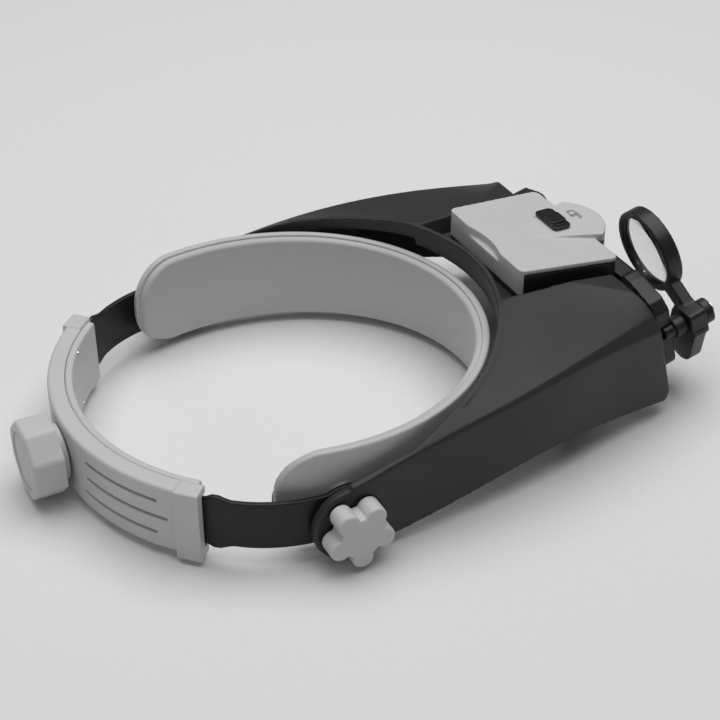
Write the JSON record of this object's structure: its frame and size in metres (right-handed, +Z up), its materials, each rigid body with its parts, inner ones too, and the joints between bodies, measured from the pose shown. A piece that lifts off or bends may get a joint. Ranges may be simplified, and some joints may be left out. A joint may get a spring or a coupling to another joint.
{
  "type": "head visor magnifier",
  "caption": "Head-worn magnifier: adjustable headband with a tilting visor that carries fixed and flip lenses, a lamp unit and a swing-out loupe.",
  "frame": {"origin": "centre of the head opening, at the mid height of the side straps", "axes": "+Z up, -Y the way the wearer faces, +X the wearer's left"},
  "size_m": [0.2112, 0.2998, 0.0796],
  "materials": {
    "visor_plastic": "dark grey moulded plastic with a fine satin grain",
    "black_plastic": "black moulded plastic, satin",
    "strap_plastic": "flexible black plastic strap, satin",
    "light_plastic": "light grey moulded plastic, satin",
    "band_plastic": "light grey moulded plastic, satin",
    "pad_lining": "soft grey foam lining with a smooth skin",
    "clear_lens": "clear polished optical acrylic",
    "steel": "plated steel, machined",
    "brass": "threaded brass, satin",
    "cell_can": "steel can in a plain printed sleeve",
    "board": "green circuit board with solder mask",
    "reflector_chrome": "vacuum-plated bright reflector",
    "diode": "epoxy dome of the diode",
    "washer": "natural nylon washer",
    "switch_black": "black slider with a soft gloss"
  },
  "bodies": {
    "headband": {"front_band": "band_plastic", "forehead_pad": "pad_lining", "band_rivets": "steel", "strap_left": "strap_plastic", "pivot_stud_left": "steel", "pivot_washer_left": "washer", "strap_right": "strap_plastic", "pivot_stud_right": "steel", "pivot_washer_right": "washer"},
    "rear_adjuster": {"rear_housing": "light_plastic", "rear_cover": "light_plastic", "cover_screws": "steel"},
    "size_knob": {"rear_knob": "light_plastic", "rear_knob_cap": "light_plastic", "size_pinion": "washer", "shaft_clip": "steel"},
    "left_rack": {"rack_left": "strap_plastic"},
    "right_rack": {"rack_right": "strap_plastic"},
    "visor": {"visor_shell": "visor_plastic", "lens_frame": "black_plastic", "main_lens": "clear_lens", "lamp_base": "black_plastic", "switch_body": "black_plastic", "cells": "cell_can", "battery_contacts": "steel", "lamp_board": "board", "reflector": "reflector_chrome", "lamp_diode": "diode", "lamp_window": "clear_lens", "lamp_screws": "steel", "loupe_post": "black_plastic", "post_cap": "black_plastic", "post_screw": "steel"},
    "flip_visor_lens": {"flip_lens_frame": "black_plastic", "flip_lens": "clear_lens"},
    "loupe": {"loupe_arm": "black_plastic", "loupe_lens": "clear_lens", "loupe_ring": "black_plastic"},
    "lamp_lid": {"lamp_cover": "light_plastic"},
    "lamp_switch": {"switch_slider": "switch_black"},
    "left_clamp_knob": {"side_knob_left": "light_plastic", "knob_insert_left": "brass"},
    "right_clamp_knob": {"side_knob_right": "light_plastic", "knob_insert_right": "brass"}
  },
  "joints": [
    {"name": "visor_tilt", "type": "hinge", "parent": "headband", "child": "visor", "pos_m": [0, 0.013, -0.0025], "axis": [-1, 0, 0], "range_deg": [-20, 60]},
    {"name": "size_adjust", "type": "slide", "parent": "headband", "child": "rear_adjuster", "axis": [0, 1, 0], "range_m": [-0.01, 0.022], "deforming": ["strap_left", "strap_right"]},
    {"name": "size_knob_turn", "type": "hinge", "parent": "rear_adjuster", "child": "size_knob", "pos_m": [0, 0.1, 0], "axis": [0, 1, 0], "range_deg": [-100, 215]},
    {"name": "left_rack_slide", "type": "hinge", "parent": "rear_adjuster", "child": "left_rack", "pos_m": [0, 0, 0], "axis": [0, 0, 1], "range_deg": [-14, 7]},
    {"name": "right_rack_slide", "type": "hinge", "parent": "rear_adjuster", "child": "right_rack", "pos_m": [0, 0, 0], "axis": [0, 0, 1], "range_deg": [-7, 14]},
    {"name": "left_clamp_turn", "type": "hinge", "parent": "headband", "child": "left_clamp_knob", "pos_m": [0.1, 0.013, -0.0025], "axis": [1, 0, 0], "range_deg": [0, 360]},
    {"name": "right_clamp_turn", "type": "hinge", "parent": "headband", "child": "right_clamp_knob", "pos_m": [-0.1, 0.013, -0.0025], "axis": [-1, 0, 0], "range_deg": [0, 360]},
    {"name": "flip_lens_swing", "type": "hinge", "parent": "visor", "child": "flip_visor_lens", "pos_m": [0, -0.137, 0.024], "axis": [1, 0, 0], "range_deg": [0, 76]},
    {"name": "loupe_swing", "type": "hinge", "parent": "visor", "child": "loupe", "pos_m": [-0.0605, -0.17193, 0.01963], "axis": [0, -0.9659, 0.2588], "range_deg": [-80, 52]},
    {"name": "lamp_lid_lift", "type": "slide", "parent": "visor", "child": "lamp_lid", "axis": [0, 0, 1], "range_m": [0, 0.03]},
    {"name": "lamp_switch_slide", "type": "slide", "parent": "lamp_lid", "child": "lamp_switch", "axis": [1, 0, 0], "range_m": [0, 0.003]}
  ],
  "couplings": [
    {"joint": "size_knob_turn", "follows": "size_adjust", "rad_per_m": 166.67},
    {"joint": "left_rack_slide", "follows": "size_adjust", "rad_per_m": -10.588},
    {"joint": "right_rack_slide", "follows": "size_adjust", "rad_per_m": 10.588}
  ]
}
